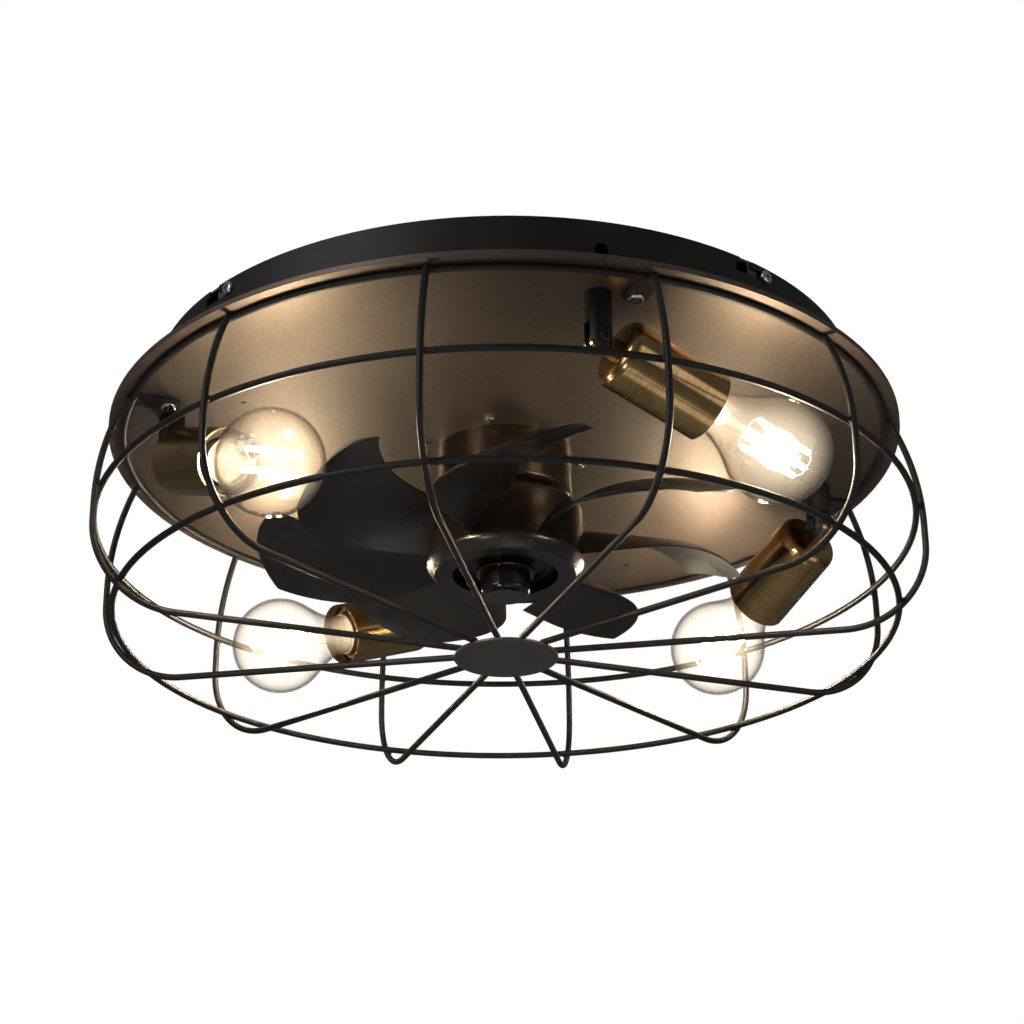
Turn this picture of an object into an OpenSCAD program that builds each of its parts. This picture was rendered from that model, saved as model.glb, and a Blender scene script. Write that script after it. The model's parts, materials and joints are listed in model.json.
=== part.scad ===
// Caged ceiling fan with four tilting lamps.
// Origin: centre of the ceiling plane, +Z up, so everything hangs below zero.
// Azimuths are counted from -Y towards +X, seen from above anticlockwise.

/* [Canopy and reflector plate] */
// Distance from the ceiling to the underside of the reflector plate
canopy_h = 40; // [36:1:60]
// Outer radius of the canopy wall
canopy_r = 208.5; // [208:0.5:212]
// Sheet thickness of the canopy
canopy_t = 1.2; // [0.8:0.1:2]
// Outer radius of the reflector plate
plate_r = 234.5; // [232:0.5:240]
// Sheet thickness of the reflector plate
plate_t = 1.2; // [0.8:0.1:2]
// Azimuth of the first radial canopy screw
canopy_screw_az = 43.5; // [40:0.5:50]

/* [Cage] */
// Diameter of the cage wire
wire_d = 3.8; // [3:0.1:4.5]
// Azimuth of the first meridian wire
wire_az = -10; // [-15:1:-5]
// Largest radius of the wire's centre line
cage_r = 243.5; // [242:0.5:250]
// Depth of the cage below the reflector plate, to the wire's centre line
cage_depth = 128.5; // [126:0.5:140]
// Radius of the shallow upper bend of a meridian wire
side_bend_r = 156; // [150:1:170]
// Depth below the plate at which the meridian wires stand upright
side_bend_drop = 68; // [66:1:72]
// Radius of the foot bend of a meridian wire
foot_bend_r = 49; // [47:1:50]
// Depth of the middle ring below the plate
middle_ring_drop = 56.8; // [50:0.1:62]
// Place of the lower ring on the foot bend, as an angle below the horizontal
lower_ring_angle = 46; // [35:1:60]
// Radius of the end disc
disc_r = 30.3; // [29:0.1:36]

/* [Fan] */
// Radius of the fixed motor cup
motor_cup_r = 40; // [38:0.5:42]
// Height of the fixed motor cup
motor_cup_h = 32.5; // [28:0.5:34]
// Radius of the rotor drum
drum_r = 46.3; // [46:0.1:48]
// Depth of the drum's top below the plate
drum_top_drop = 37; // [36:0.5:38]
// Azimuth of the leading corner of the first blade
blade_az = 21; // [0:1:51]
// Depth of the blades' leading edge below the plate
blade_lead_drop = 46; // [44:0.5:48]
// Depth of the blades' trailing edge below the plate
blade_trail_drop = 70; // [66:0.5:71]
// Thickness of a blade in the middle of its chord
blade_t = 2.4; // [1.8:0.1:3]

/* [Lamps] */
// Radius of the circle on which the lamp posts stand
lamp_circle_r = 198.7; // [197:0.1:198.8]
// Azimuth of the first lamp post
lamp_az = 14.5; // [12:0.5:15.5]
// Diameter of a lamp post
post_d = 15; // [14:0.5:16]
// Depth of the tilt axis below the plate
pivot_drop = 27.6; // [27:0.1:30]
// Plan angle between a lamp and the tangent of the lamp circle
lamp_swing = 18; // [17:0.5:20]
// Tilt of a lamp below the horizontal
lamp_tilt = 20; // [18:0.5:22]
// Diameter of a lamp cup
cup_d = 39; // [38.6:0.1:40]
// Length of a lamp cup
cup_l = 61.6; // [60:0.1:63]
// Diameter of the bulb's globe
globe_d = 60; // [58:0.5:61]

/* [Hidden] */
$fn = 96;

// ---- Shared levels and small sizes ----

plate_z = -canopy_h;
plate_top = plate_z + plate_t;
eps = 0.01;

// Metric screws: radius of the shank and of a clearance hole for it
m4_r = 1.95;
m4_clear_r = 2.2;

// Canopy
ceiling_gap = 1;
canopy_flange_w = 18;
canopy_flange_top = plate_top + canopy_t;
canopy_inner_r = canopy_r - canopy_t;
plate_hem_h = 2;
notch_z = -7.4;
notch_h = 5;
notch_entry_w = 9;
side_hole_az = 14.5;
side_hole_z = -18.5;
side_hole_r = 4;

// Ceiling plate
ceiling_plate_t = 1.5;
ceiling_lug_w = 24;
ceiling_lug_h = 16;
ceiling_plate_r = canopy_inner_r - 0.5;
ceiling_hole_pcd = 150;
ceiling_hole_r = 2.6;
cable_hole_r = 12;

// Cage, one node for each wire
wire_count = 12;
weld = 0.4;
ring_inset = wire_d - weld;
side_bend_z = plate_z - side_bend_drop;
side_bend_c = cage_r - side_bend_r;
upper_ring_z = plate_z - wire_d / 2;
side_bend_angle = asin((upper_ring_z - side_bend_z) / side_bend_r);
foot_z = plate_z - cage_depth;
foot_bend_z = foot_z + foot_bend_r;
foot_bend_c = cage_r - foot_bend_r;
wire_foot_end_r = 27;
disc_t = 1.6;
tab_screw_r = 204.5;
tab_az = 20;
tab_w = 14;
tab_t = 1.6;

// Motor and hub
shaft_r = 4;
shaft_thick_r = 6;
motor_bolt_r = 47.5;
motor_bolt_az = -10.5;
motor_bracket_r = 56;
motor_bracket_t = 3;
motor_boss_h = 12;
bearing_r = 11;
bearing_h = 7;
run_clear = 0.05;
axial_gap = 0.3;
drum_wall = 2;
drum_top_z = plate_z - drum_top_drop;
hub_ring_z = plate_z - 71.5;
hub_floor_z = hub_ring_z - 1.5;
hub_bottom_z = hub_ring_z - 8;
upper_bearing_z = drum_top_z - 3 - bearing_h;
lower_bearing_z = hub_ring_z + 0.5;
core_top_z = upper_bearing_z - axial_gap;
core_bottom_z = lower_bearing_z + bearing_h + axial_gap;

// Blades, one node for each
blade_count = 7;
blade_root_r = drum_r - 0.7;
blade_steps_r = 18;
blade_steps_c = 10;

// Lamps
pivot_z = plate_z - pivot_drop;
swing_trim = [-2, -2, 0.5, 4.5];
tilt_trim = [-2, 0, 1, 1.5];
fork_slot_w = 5.2;
fork_flat = 6;
lug_t = 4.6;
lug_r = 5.5;
pin_r = 2;
cup_back = 10.6;
cup_wall = 1;
cup_round = 6;
cup_rim = cup_back + cup_l;
socket_r = 17.3;
socket_bore_r = 13.8;
bulb_tip = 44.2;
bulb_cap_l = 27;
bulb_cap_r = 13.05;
bulb_neck_r = 12.3;
bulb_length = 105;
glass_t = 0.8;

steel = "silver";
black = [0.07, 0.07, 0.07];
bronze = [0.42, 0.31, 0.22];
dark_bronze = [0.20, 0.14, 0.10];
brass = [0.62, 0.50, 0.29];

// ---- Helpers ----

// Puts children, built around the -Y side, at an azimuth
module at_az(az) {
    rotate([0, 0, az]) children();
}

// Copies children, built around the -Y side, to count places from a first azimuth
module ring_of(count, first_az) {
    for (i = [0 : count - 1]) {
        at_az(first_az + i * 360 / count) children();
    }
}

// Points of an arc, from angle a0 to angle a1, in steps
function arc_points(c, r, a0, a1, steps) =
    [for (i = [0 : steps]) let (a = a0 + (a1 - a0) * i / steps) c + r * [cos(a), sin(a)]];

// Points of a cubic curve through four control points
function bezier_points(a, b, c, d, steps) =
    [for (i = [0 : steps])
        let (t = i / steps, s = 1 - t)
        s * s * s * a + 3 * s * s * t * b + 3 * s * t * t * c + t * t * t * d];

// Tube between two heights
module tube(r_out, r_in, z_low, z_high) {
    translate([0, 0, z_low]) {
        difference() {
            cylinder(r = r_out, h = z_high - z_low);
            translate([0, 0, -1]) cylinder(r = r_in, h = z_high - z_low + 2);
        }
    }
}

// Pan-head screw with a cross recess; its head stands on z = 0 and its shank points to -Z
module pan_screw(head_r, head_h, shank_r, shank_l) {
    round_r = head_h * 0.6;
    difference() {
        union() {
            rotate_extrude() {
                polygon(concat(
                    [[0, 0], [head_r, 0], [head_r, head_h - round_r]],
                    arc_points([head_r - round_r, head_h - round_r], round_r, 15, 90, 5),
                    [[0, head_h]]));
            }
            translate([0, 0, -shank_l]) cylinder(r = shank_r, h = shank_l + eps);
        }
        for (a = [0, 90]) {
            rotate([0, 0, a]) {
                translate([-head_r * 0.55, -head_r * 0.1, head_h * 0.45]) {
                    cube([head_r * 1.1, head_r * 0.2, head_h]);
                }
            }
        }
    }
}

// ---- Ceiling side ----

module ceiling_plate() {
    color(steel)
    difference() {
        union() {
            translate([0, 0, -ceiling_plate_t]) {
                cylinder(r = ceiling_plate_r, h = ceiling_plate_t, $fn = 180);
            }
            ring_of(4, canopy_screw_az) {
                translate([-ceiling_lug_w / 2, -ceiling_plate_r, -ceiling_lug_h]) {
                    cube([ceiling_lug_w, ceiling_plate_t, ceiling_lug_h]);
                }
            }
        }
        translate([0, 0, -ceiling_plate_t - 1]) cylinder(r = cable_hole_r, h = ceiling_plate_t + 2);
        ring_of(4, canopy_screw_az) {
            translate([0, -ceiling_hole_pcd / 2, -ceiling_plate_t - 1]) {
                cylinder(r = ceiling_hole_r, h = ceiling_plate_t + 2);
            }
            translate([0, -ceiling_plate_r - 1, notch_z]) {
                rotate([-90, 0, 0]) cylinder(r = m4_r, h = ceiling_plate_t + 2);
            }
        }
    }
}

module canopy_screws() {
    color(steel)
    ring_of(4, canopy_screw_az) {
        translate([0, -canopy_r, notch_z]) {
            rotate([90, 0, 0]) pan_screw(4, 2.6, m4_r, 10);
        }
    }
}

module canopy() {
    top = -ceiling_gap;
    color(black)
    difference() {
        rotate_extrude($fn = 180) {
            polygon([
                [canopy_r - canopy_flange_w, plate_top],
                [canopy_r, plate_top],
                [canopy_r, top],
                [canopy_inner_r, top],
                [canopy_inner_r, canopy_flange_top],
                [canopy_r - canopy_flange_w, canopy_flange_top]]);
        }
        // Bayonet notches: an entry from the edge and a branch to the screw
        ring_of(4, canopy_screw_az) {
            rotate([0, 0, -4]) {
                translate([-notch_entry_w / 2, -canopy_r - 5, notch_z - notch_h / 2]) {
                    cube([notch_entry_w, 10, 20]);
                }
            }
            translate([-22, -canopy_r - 5, notch_z - notch_h / 2]) {
                cube([22, 10, notch_h]);
            }
            translate([0, -canopy_r - 5, notch_z]) {
                rotate([-90, 0, 0]) cylinder(r = notch_h / 2, h = 10);
            }
        }
        at_az(side_hole_az) {
            translate([0, -canopy_r - 5, side_hole_z]) {
                rotate([-90, 0, 0]) cylinder(r = side_hole_r, h = 10);
            }
        }
        ring_of(4, lamp_az) {
            translate([0, -lamp_circle_r, plate_top - 1]) cylinder(r = 5, h = 4);
        }
        ring_of(4, tab_az) {
            translate([0, -tab_screw_r, plate_top - 1]) cylinder(r = m4_r, h = 4);
        }
    }
}

module reflector_plate() {
    color(bronze)
    difference() {
        union() {
            translate([0, 0, plate_z]) cylinder(r = plate_r, h = plate_t, $fn = 180);
            tube(plate_r, plate_r - plate_t, plate_top, plate_top + plate_hem_h, $fn = 180);
        }
        translate([0, 0, plate_z - 1]) cylinder(r = 10, h = plate_t + 2);
        ring_of(6, motor_bolt_az) plate_hole(motor_bolt_r, m4_clear_r);
        ring_of(4, lamp_az) plate_hole(lamp_circle_r, 5);
        ring_of(4, tab_az) plate_hole(tab_screw_r, m4_clear_r);
        at_az(-65) plate_hole(165, 1.4);
        at_az(155) plate_hole(188, 1.6);
    }
}

module plate_hole(r, hole_r) {
    translate([0, -r, plate_z - 1]) cylinder(r = hole_r, h = plate_t + 2);
}

module terminal_block() {
    pole_pitch = 10;
    poles = 3;
    block_h = 15;
    color([0.9, 0.9, 0.88])
    translate([0, 34, -ceiling_plate_t - block_h]) {
        difference() {
            translate([-pole_pitch * poles / 2, -9, 0]) cube([pole_pitch * poles, 18, block_h]);
            for (i = [0 : poles - 1]) {
                x = (i - (poles - 1) / 2) * pole_pitch;
                for (y = [-5, 5]) {
                    translate([x, y, -1]) cylinder(r = 1.8, h = 8);
                }
                translate([x, -10, 6]) rotate([-90, 0, 0]) cylinder(r = 2, h = 20);
            }
        }
    }
}

module driver_box() {
    box_l = 118;
    box_w = 46;
    box_h = 24;
    corner = 5;
    gland_r = 4;
    color([0.85, 0.85, 0.85])
    translate([0, 118, plate_top]) {
        difference() {
            union() {
                translate([-box_l / 2 + corner, -box_w / 2, 0]) cube([box_l - 2 * corner, box_w, box_h]);
                translate([-box_l / 2, -box_w / 2 + corner, 0]) cube([box_l, box_w - 2 * corner, box_h]);
                for (x = [-1, 1], y = [-1, 1]) {
                    translate([x * (box_l / 2 - corner), y * (box_w / 2 - corner), 0]) {
                        cylinder(r = corner, h = box_h);
                    }
                }
            }
            for (x = [-box_l / 2 - 1, box_l / 2 - 5]) {
                translate([x, 0, box_h / 2]) rotate([0, 90, 0]) cylinder(r = gland_r, h = 6);
            }
        }
    }
}

// ---- Motor, fixed side ----

module motor_bracket() {
    color(steel)
    difference() {
        union() {
            translate([0, 0, plate_top]) cylinder(r = motor_bracket_r, h = motor_bracket_t);
            translate([0, 0, plate_top]) cylinder(r = 14, h = motor_boss_h);
        }
        translate([0, 0, plate_top - 1]) cylinder(r = shaft_r, h = motor_boss_h + 2);
        ring_of(3, motor_bolt_az) {
            translate([0, -motor_bolt_r, plate_top - 1]) cylinder(r = m4_r, h = motor_bracket_t + 2);
        }
    }
}

module motor_screws() {
    color(steel)
    ring_of(3, motor_bolt_az) {
        translate([0, -motor_bolt_r, plate_z]) {
            rotate([180, 0, 0]) pan_screw(3.5, 2.2, m4_r, 6);
        }
    }
}

module motor_cup() {
    wall = 1.6;
    round_r = 3.5;
    bottom = plate_z - motor_cup_h;
    inner_r = motor_cup_r - wall;
    color(dark_bronze)
    difference() {
        rotate_extrude() {
            polygon(concat(
                [[shaft_r + 4, bottom]],
                arc_points([motor_cup_r - round_r, bottom + round_r], round_r, -90, 0, 8),
                [[motor_cup_r, plate_z], [inner_r, plate_z]],
                arc_points([motor_cup_r - round_r, bottom + round_r], round_r - wall, 0, -90, 8),
                [[shaft_r + 4, bottom + wall]]));
        }
        ring_of(6, motor_bolt_az) {
            translate([0, -24, bottom - 1]) cylinder(r = 2.5, h = wall + 2);
        }
    }
}

module motor_shaft() {
    nut_top = lower_bearing_z - axial_gap;
    color(steel)
    union() {
        translate([0, 0, core_top_z]) {
            cylinder(r = shaft_r, h = plate_top + motor_boss_h - core_top_z);
        }
        translate([0, 0, core_bottom_z]) cylinder(r = shaft_thick_r, h = core_top_z - core_bottom_z);
        translate([0, 0, nut_top - 3]) cylinder(r = shaft_r, h = core_bottom_z - nut_top + 3);
        translate([0, 0, nut_top - 3]) cylinder(r = shaft_thick_r, h = 3, $fn = 6);
    }
}

module motor_stator() {
    core_r = 39.6;
    height = 13;
    slots = 12;
    middle = (core_top_z + core_bottom_z) / 2;
    color([0.72, 0.45, 0.2])
    translate([0, 0, middle - height / 2]) {
        difference() {
            cylinder(r = core_r, h = height);
            translate([0, 0, -1]) cylinder(r = shaft_thick_r, h = height + 2);
            ring_of(slots, 0) {
                translate([0, -29, -1]) cylinder(r = 5, h = height + 2);
                translate([-1, -core_r - 2, -1]) cube([2, 10, height + 2]);
            }
        }
    }
}

// ---- Motor, turning side ----

module motor_bearings() {
    color([0.7, 0.7, 0.72])
    for (z = [upper_bearing_z, lower_bearing_z]) {
        tube(bearing_r, shaft_r + run_clear, z, z + bearing_h);
    }
}

module rotor_drum() {
    round_r = 6;
    top = drum_top_z;
    inner_r = drum_r - drum_wall;
    color([0.24, 0.16, 0.11])
    rotate_extrude() {
        polygon(concat(
            [[shaft_r + 3, top]],
            arc_points([drum_r - round_r, top - round_r], round_r, 90, 0, 6),
            [[drum_r, hub_ring_z], [inner_r, hub_ring_z]],
            arc_points([drum_r - round_r, top - round_r], round_r - drum_wall, 0, 90, 6),
            [
                [bearing_r + 2.5, top - drum_wall],
                [bearing_r + 2.5, upper_bearing_z],
                [bearing_r, upper_bearing_z],
                [bearing_r, upper_bearing_z + bearing_h],
                [shaft_r + 3, upper_bearing_z + bearing_h]]));
    }
}

module rotor_end_plate() {
    rib_r = 24;
    color([0.12, 0.12, 0.12])
    rotate_extrude() {
        polygon([
            [shaft_r + 3, hub_floor_z],
            [rib_r, hub_floor_z],
            [rib_r, hub_floor_z - 1.2],
            [rib_r + 3, hub_floor_z - 1.2],
            [rib_r + 3, hub_floor_z],
            [drum_r - drum_wall, hub_floor_z],
            [drum_r - drum_wall, hub_floor_z + 2],
            [bearing_r + 2.5, hub_floor_z + 2],
            [bearing_r + 2.5, lower_bearing_z + bearing_h],
            [bearing_r, lower_bearing_z + bearing_h],
            [bearing_r, lower_bearing_z],
            [shaft_r + 3, lower_bearing_z]]);
    }
}

module magnet_ring() {
    middle = (core_top_z + core_bottom_z) / 2;
    color([0.3, 0.3, 0.32])
    tube(drum_r - drum_wall, drum_r - drum_wall - 3.8, middle - 8.5, middle + 8.5);
}

module hub_ring() {
    opening_r = 31;
    foot_r = 41.5;
    color(black)
    rotate_extrude() {
        polygon(concat(
            [[drum_r - drum_wall, hub_ring_z], [drum_r, hub_ring_z], [drum_r, hub_bottom_z + 7]],
            bezier_points(
                [drum_r, hub_bottom_z + 7], [drum_r, hub_bottom_z + 5],
                [foot_r + 1.2, hub_bottom_z + 1.5], [foot_r, hub_bottom_z], 6),
            [
                [opening_r, hub_bottom_z],
                [opening_r, hub_bottom_z + 1.8],
                [foot_r - 1, hub_bottom_z + 1.8],
                [drum_r - drum_wall - 1.5, hub_bottom_z + 4],
                [drum_r - drum_wall - 1.5, hub_floor_z],
                [drum_r - drum_wall, hub_floor_z]]));
    }
}

module hub_knob() {
    knob_r = 15;
    rim_r = 17.5;
    rim_z = hub_floor_z - 3.5;
    bottom = plate_z - 93;
    round_r = 3.5;
    color([0.04, 0.04, 0.04])
    rotate_extrude() {
        polygon(concat(
            [[0, bottom]],
            arc_points([knob_r - 0.5 - round_r, bottom + round_r], round_r, -90, 0, 8),
            [
                [knob_r, rim_z - 2.5],
                [rim_r - 0.5, rim_z - 2.5],
                [rim_r, rim_z - 2],
                [rim_r, rim_z - 0.5],
                [rim_r - 0.5, rim_z],
                [knob_r, rim_z],
                [knob_r, hub_floor_z],
                [10, hub_floor_z],
                [10, bottom + 6],
                [0, bottom + 6]]));
    }
}

// Azimuths of a blade's leading and trailing edge at a radius
function blade_lead_az(r) = -16.5 + 16.5 * pow(max(0, (r - 55) / 80), 1.6);
function blade_trail_az(r) = -47 + 23 * pow(max(0, (r - 85) / 57), 2);

// Tip radius at chord fraction c, from the leading corner at 0 to the trailing one at 1
function blade_tip_r(c) = 135 + 38 * c - 31 * c * c;

// The chord is flat near the leading edge and steep near the trailing edge
function blade_drop(c) = blade_lead_drop + (blade_trail_drop - blade_lead_drop) * (0.25 * c + 0.75 * c * c);

// Thickness is full in the middle of the chord and thin along the edges and the tip
function blade_thick(s, c) = 0.7 + (blade_t - 0.7) * sqrt(sin(180 * c)) * (1 - 0.6 * s * s * s);

function blade_point(s, c, side) =
    let (
        r = blade_root_r + (blade_tip_r(c) - blade_root_r) * s,
        az = blade_lead_az(r) * (1 - c) + blade_trail_az(r) * c,
        z = plate_z - blade_drop(c) + side * blade_thick(s, c) / 2
    )
    [r * sin(az), -r * cos(az), z];

module blade(i) {
    ns = blade_steps_r;
    nc = blade_steps_c;
    grid = (ns + 1) * (nc + 1);
    function id(side, s, c) = side * grid + s * (nc + 1) + c;
    points = [
        for (side = [1, -1], s = [0 : ns], c = [0 : nc]) blade_point(s / ns, c / nc, side)
    ];
    top = [
        for (s = [0 : ns - 1], c = [0 : nc - 1], half = [0, 1])
            half == 0
                ? [id(0, s, c), id(0, s, c + 1), id(0, s + 1, c + 1)]
                : [id(0, s, c), id(0, s + 1, c + 1), id(0, s + 1, c)]
    ];
    bottom = [for (f = top) [f[0] + grid, f[2] + grid, f[1] + grid]];
    rim = concat(
        [for (c = [0 : nc]) [0, c]],
        [for (s = [1 : ns]) [s, nc]],
        [for (c = [1 : nc]) [ns, nc - c]],
        [for (s = [1 : ns - 1]) [ns - s, 0]]);
    n = len(rim);
    walls = [
        for (k = [0 : n - 1], half = [0, 1])
            let (
                a = rim[k],
                b = rim[(k + 1) % n]
            )
            half == 0
                ? [id(0, a[0], a[1]), id(1, b[0], b[1]), id(0, b[0], b[1])]
                : [id(0, a[0], a[1]), id(1, a[0], a[1]), id(1, b[0], b[1])]
    ];
    color(black)
    at_az(blade_az + (i - 1) * 360 / blade_count) {
        polyhedron(points, concat(top, bottom, walls), convexity = 6);
    }
}

// ---- Cage ----

// Tube along an arc in the XZ plane, angles from +X towards +Z
module wire_arc(r, a0, a1) {
    rotate([90, 0, 0]) {
        rotate([0, 0, a0]) {
            rotate_extrude(angle = a1 - a0) translate([r, 0]) circle(d = wire_d, $fn = 32);
        }
    }
}

module cage_wire(i) {
    color(black)
    at_az(wire_az + (i - 1) * 360 / wire_count - 90) {
        translate([side_bend_c, 0, side_bend_z]) wire_arc(side_bend_r, 0, side_bend_angle);
        translate([cage_r, 0, foot_bend_z]) {
            cylinder(d = wire_d, h = side_bend_z - foot_bend_z, $fn = 32);
        }
        translate([foot_bend_c, 0, foot_bend_z]) wire_arc(foot_bend_r, -90, 0);
        translate([wire_foot_end_r, 0, foot_z]) {
            rotate([0, 90, 0]) cylinder(d = wire_d, h = foot_bend_c - wire_foot_end_r, $fn = 32);
        }
    }
}

// Radius of the meridian wires' centre line at a height on the upper bend
function side_radius(z) = side_bend_c + sqrt(side_bend_r * side_bend_r - pow(z - side_bend_z, 2));

module wire_ring(r, z) {
    color(black)
    translate([0, 0, z]) rotate_extrude($fn = 180) translate([r, 0]) circle(d = wire_d, $fn = 32);
}

module cage_ring_upper() {
    wire_ring(side_radius(upper_ring_z) - ring_inset, upper_ring_z);
}

module cage_ring_middle() {
    z = plate_z - middle_ring_drop;
    wire_ring(side_radius(z) - ring_inset, z);
}

module cage_ring_lower() {
    reach = foot_bend_r - ring_inset;
    wire_ring(
        foot_bend_c + reach * cos(lower_ring_angle),
        foot_bend_z - reach * sin(lower_ring_angle));
}

module cage_disc() {
    disc_top = foot_z - wire_d / 2 + weld;
    color(black)
    translate([0, 0, disc_top - disc_t]) {
        cylinder(r1 = disc_r - 0.6, r2 = disc_r, h = 0.6);
        translate([0, 0, 0.6]) cylinder(r = disc_r, h = disc_t - 0.6);
    }
}

module cage_tabs() {
    outer_r = side_radius(upper_ring_z) - ring_inset;
    color(black)
    ring_of(4, tab_az) {
        difference() {
            union() {
                translate([0, -tab_screw_r, plate_z - tab_t]) cylinder(d = tab_w, h = tab_t);
                translate([-tab_w / 2, -outer_r, plate_z - tab_t]) {
                    cube([tab_w, outer_r - tab_screw_r, tab_t]);
                }
            }
            translate([0, -tab_screw_r, plate_z - tab_t - 1]) cylinder(r = m4_clear_r, h = tab_t + 2);
        }
    }
}

module tab_screws() {
    color(steel)
    ring_of(4, tab_az) {
        translate([0, -tab_screw_r, plate_z - tab_t]) {
            rotate([180, 0, 0]) pan_screw(4.7, 2.6, m4_r, 7);
        }
    }
}

// ---- Lamps ----

// Frame of lamp i at its post: Z is up, Y is the tilt axis, X points the way the bulb points
module post_frame(i) {
    at_az(lamp_az + (i - 1) * 90) {
        translate([0, -lamp_circle_r, 0]) {
            rotate([0, 0, lamp_swing + swing_trim[i - 1]]) children();
        }
    }
}

// Frame of the tilted head of lamp i: the origin is the pivot and Z runs to the bulb
module head_frame(i) {
    post_frame(i) {
        translate([0, 0, pivot_z]) {
            rotate([0, 90 + lamp_tilt + tilt_trim[i - 1], 0]) children();
        }
    }
}

module lamp_post(i) {
    stud_r = 5;
    nut_h = 4;
    stud_top = canopy_flange_top + nut_h + 3;
    flat_h = 6;
    slot_h = 9;
    post_frame(i) {
        difference() {
            union() {
                translate([0, 0, pivot_z]) cylinder(d = post_d, h = plate_z - pivot_z);
                translate([0, 0, pivot_z]) sphere(d = post_d);
                translate([0, 0, plate_z - eps]) cylinder(r = stud_r, h = stud_top - plate_z);
            }
            translate([-post_d, -fork_slot_w / 2, pivot_z - post_d]) {
                cube([2 * post_d, fork_slot_w, post_d + slot_h]);
            }
            for (side = [0, 180]) {
                rotate([0, 0, side]) {
                    translate([-post_d, fork_flat, pivot_z - post_d]) {
                        cube([2 * post_d, post_d, post_d + flat_h]);
                    }
                }
            }
            translate([0, 0, pivot_z]) {
                rotate([90, 0, 0]) cylinder(r = pin_r + run_clear, h = 30, center = true);
            }
        }
        translate([0, 0, canopy_flange_top]) {
            difference() {
                cylinder(r = 8, h = nut_h, $fn = 6);
                translate([0, 0, -1]) cylinder(r = stud_r, h = nut_h + 2);
            }
        }
    }
}

module lamp_posts() {
    color(black)
    for (i = [1 : 4]) {
        lamp_post(i);
    }
}

module knuckle_screws() {
    head_r = 3.4;
    head_h = 1.4;
    nut_r = 3.6;
    nut_h = 2.4;
    color(black)
    for (i = [1 : 4]) {
        post_frame(i) {
            translate([0, -fork_flat, pivot_z]) {
                rotate([90, 0, 0]) pan_screw(head_r, head_h, pin_r, 2 * fork_flat);
            }
            translate([0, fork_flat, pivot_z]) {
                rotate([-90, 0, 0]) cylinder(r = nut_r, h = nut_h, $fn = 6);
            }
        }
    }
}

module lamp_cup(i) {
    outer_r = cup_d / 2;
    inner_r = outer_r - cup_wall;
    bend_c = [outer_r - cup_round, cup_back + cup_round];
    color(brass)
    head_frame(i) {
        difference() {
            union() {
                rotate_extrude() {
                    polygon(concat(
                        [[0, cup_back]],
                        arc_points(bend_c, cup_round, -90, 0, 8),
                        [[outer_r, cup_rim], [inner_r, cup_rim]],
                        arc_points(bend_c, cup_round - cup_wall, 0, -90, 8),
                        [[0, cup_back + cup_wall]]));
                }
                rotate([90, 0, 0]) cylinder(r = lug_r, h = lug_t, center = true);
                translate([-lug_r, -lug_t / 2, 0]) cube([2 * lug_r, lug_t, cup_back + cup_wall / 2]);
            }
            rotate([90, 0, 0]) cylinder(r = pin_r + run_clear, h = 30, center = true);
        }
    }
}

module lamp_socket(i) {
    base = cup_back + cup_wall;
    mouth = bulb_tip + 20;
    color([0.06, 0.05, 0.045])
    head_frame(i) {
        rotate_extrude() {
            polygon([
                [0, base],
                [13, base],
                [13, base + 4],
                [socket_r, base + 8],
                [socket_r, mouth],
                [socket_bore_r, mouth],
                [socket_bore_r, bulb_tip],
                [0, bulb_tip]]);
        }
    }
}

module bulb_base(i) {
    thread_start = bulb_tip + 6;
    thread_pitch = 3.6;
    thread_turns = 4;
    thread_depth = 0.6;
    samples = 8;
    cap_end = bulb_tip + bulb_cap_l;
    thread = [
        for (k = [0 : thread_turns * samples])
            let (z = thread_start + k * thread_pitch / samples)
            [bulb_cap_r - thread_depth * (1 - cos(360 * k / samples)) / 2, z]
    ];
    color([0.8, 0.8, 0.78])
    head_frame(i) {
        rotate_extrude() {
            polygon(concat(
                [[0, bulb_tip], [4.2, bulb_tip], [5, bulb_tip + 1], [11, bulb_tip + 4]],
                thread,
                [
                    [bulb_cap_r, cap_end],
                    [bulb_neck_r, cap_end],
                    [bulb_neck_r, cap_end - 5],
                    [0, cap_end - 5]]));
        }
    }
}

// Outline of the bulb's glass at an inset from its outer face, from the neck up to the top
function glass_outline(inset) =
    let (
        centre = [0, bulb_tip + bulb_length - globe_d / 2],
        r = globe_d / 2 - inset,
        leave = -32,
        cap_end = bulb_tip + bulb_cap_l,
        neck = [bulb_neck_r - inset, cap_end],
        start = centre + r * [cos(leave), sin(leave)]
    )
    concat(
        bezier_points(neck, neck + [0, 13], start - 14 * [-sin(leave), cos(leave)], start, 10),
        arc_points(centre, r, leave + 6, 90, 22));

module bulb_glass(i) {
    foot = bulb_tip + bulb_cap_l - 5;
    outer = glass_outline(0);
    inner = glass_outline(glass_t);
    color([0.95, 0.95, 0.9, 0.35])
    head_frame(i) {
        difference() {
            rotate_extrude() polygon(concat([[0, foot], [bulb_neck_r, foot]], outer));
            rotate_extrude() {
                polygon(concat([[0, foot + glass_t], [bulb_neck_r - glass_t, foot + glass_t]], inner));
            }
        }
    }
}

// ---- Output ----

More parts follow.
